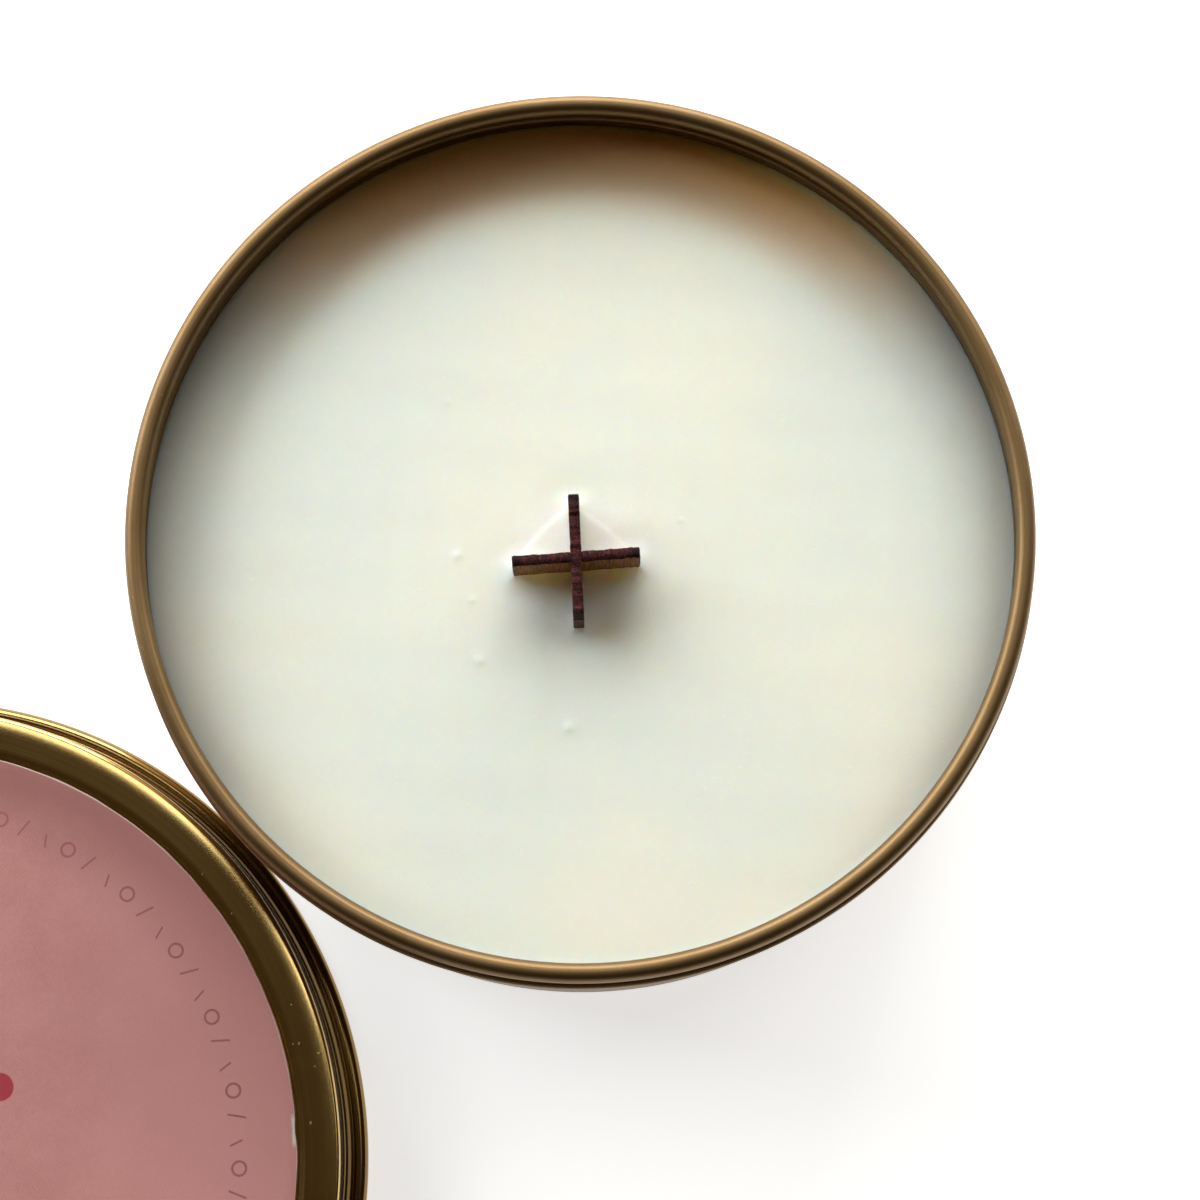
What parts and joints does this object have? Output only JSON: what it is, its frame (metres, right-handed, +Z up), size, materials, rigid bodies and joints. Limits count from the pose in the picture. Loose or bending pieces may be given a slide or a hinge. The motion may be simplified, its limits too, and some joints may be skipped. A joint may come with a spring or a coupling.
{
  "type": "candle tin",
  "caption": "Shallow round screw-top metal tin of poured wax with a cross-shaped wooden wick, its threaded lid lying flat beside it with a round paper label.",
  "frame": {"origin": "centre of the tin's flat base, on the surface it stands on", "axes": "+Z up along the tin's axis; the lid lies towards -X and -Y of the tin"},
  "size_m": [0.1418, 0.1333, 0.028],
  "materials": {
    "bronze_tin": "satin antique bronze lacquer over drawn metal",
    "gold_lid": "satin gold lacquer over pressed metal",
    "soy_wax": "poured cream wax, soft sheen",
    "wick_wood": "thin dark veneer, trimmed edges",
    "clip_zinc": "zinc plated stamping",
    "sticker_paper": "white double-sided adhesive foam dot",
    "liner_foam": "white closed-cell foam",
    "label_paper": "uncoated dusty pink paper"
  },
  "bodies": {
    "tin": {"tin_body": "bronze_tin", "wax_fill": "soy_wax", "wick_blade_side": "wick_wood", "wick_blade_front": "wick_wood", "wick_clip": "clip_zinc", "wick_sticker": "sticker_paper"},
    "lid_pad": {"lid_liner": "liner_foam"},
    "lid": {"lid_shell": "gold_lid", "lid_label": "label_paper"}
  },
  "joints": [
    {"name": "lid_lift", "type": "slide", "parent": "tin", "child": "lid_pad", "axis": [0, 0, 1], "range_m": [0, 0.04]},
    {"name": "lid_turn", "type": "hinge", "parent": "lid_pad", "child": "lid", "pos_m": [-0.0613, -0.0528, 0], "axis": [0, 0, 1], "continuous": true}
  ]
}
